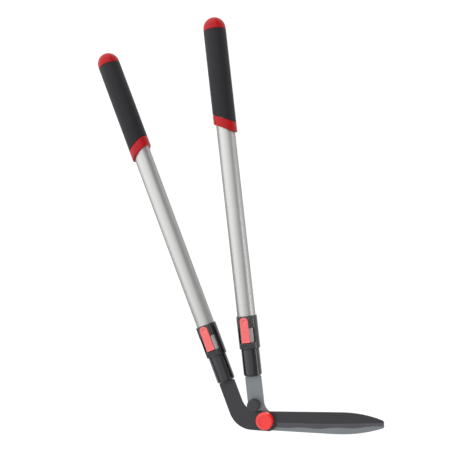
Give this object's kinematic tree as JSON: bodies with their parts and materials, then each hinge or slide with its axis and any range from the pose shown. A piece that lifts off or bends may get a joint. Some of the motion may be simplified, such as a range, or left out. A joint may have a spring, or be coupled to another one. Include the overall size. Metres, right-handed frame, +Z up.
{
  "type": "hedge shears",
  "caption": "Long-handled garden shears with telescopic tube handles, lever locks, a flat wavy-edged blade pair at right angles to the handles and a capped pivot.",
  "frame": {"origin": "bottom centre of the tool lying flat, closed and with both handles pushed in", "axes": "+X out along the closed blades, +Y towards the hand grips, +Z up out of the plane that the blades slide in"},
  "size_m": [0.4532, 0.6326, 0.0413],
  "materials": {
    "coated_steel": "dark charcoal non-stick coating, satin",
    "satin_steel": "satin ground steel",
    "zinc_steel": "zinc plated",
    "bronze": "sintered bronze",
    "spring_steel": "bright spring steel",
    "red_plastic": "red, lightly glossy",
    "lever_plastic": "bright red, glossy",
    "black_plastic": "black, glossy",
    "nylon": "dark grey nylon",
    "bumper_rubber": "dark grey rubber",
    "grip_rubber": "matt black soft rubber",
    "anodised_aluminium": "satin silver anodised",
    "inner_aluminium": "drawn, mill finish"
  },
  "bodies": {
    "lower_half": {"lower_blade": "satin_steel", "pivot_bolt": "zinc_steel", "pivot_washer": "zinc_steel", "disc_spring": "spring_steel", "pivot_nut": "zinc_steel", "pivot_cap": "lever_plastic", "bumper": "bumper_rubber", "bumper_screw": "zinc_steel", "right_socket": "black_plastic", "right_inner_tube": "inner_aluminium", "right_tang_insert": "nylon", "right_tang_pins": "zinc_steel", "right_inner_tube_bush": "nylon"},
    "upper_half": {"upper_blade": "coated_steel", "pivot_bush": "bronze", "left_socket": "black_plastic", "left_inner_tube": "inner_aluminium", "left_tang_insert": "nylon", "left_tang_pins": "zinc_steel", "left_inner_tube_bush": "nylon"},
    "right_handle": {"right_outer_tube": "anodised_aluminium", "right_collar": "black_plastic", "right_collar_screw": "zinc_steel", "right_lever_axle": "spring_steel", "right_grip_ferrule": "red_plastic", "right_grip": "grip_rubber", "right_grip_end_cap": "red_plastic", "right_lever_spring": "spring_steel"},
    "right_lever": {"right_lock_lever": "lever_plastic", "right_lock_pin": "zinc_steel"},
    "left_handle": {"left_outer_tube": "anodised_aluminium", "left_collar": "black_plastic", "left_collar_screw": "zinc_steel", "left_lever_axle": "spring_steel", "left_grip_ferrule": "red_plastic", "left_grip": "grip_rubber", "left_grip_end_cap": "red_plastic", "left_lever_spring": "spring_steel"},
    "left_lever": {"left_lock_lever": "lever_plastic", "left_lock_pin": "zinc_steel"}
  },
  "joints": [
    {"name": "blade_pivot", "type": "hinge", "parent": "lower_half", "child": "upper_half", "pos_m": [0.05063, -0.29981, 0.0195], "axis": [0, 0, 1], "range_deg": [0, 40]},
    {"name": "right_telescope", "type": "slide", "parent": "lower_half", "child": "right_handle", "axis": [-0.1149, 0.9934, 0], "range_m": [0, 0.24]},
    {"name": "right_lever_press", "type": "hinge", "parent": "right_handle", "child": "right_lever", "pos_m": [0.02091, -0.15784, 0.0343], "axis": [-0.9934, -0.1149, 0], "range_deg": [0, 5.5], "stiffness_Nm_per_rad": 0.8, "springref_deg": -5.73, "deforming": ["right_lever_spring"]},
    {"name": "left_telescope", "type": "slide", "parent": "upper_half", "child": "left_handle", "axis": [-0.3684, 0.9296, 0], "range_m": [0, 0.24]},
    {"name": "left_lever_press", "type": "hinge", "parent": "left_handle", "child": "left_lever", "pos_m": [-0.03975, -0.17273, 0.0379], "axis": [-0.9296, -0.3684, 0], "range_deg": [0, 5.5], "stiffness_Nm_per_rad": 0.8, "springref_deg": -5.73, "deforming": ["left_lever_spring"]}
  ]
}
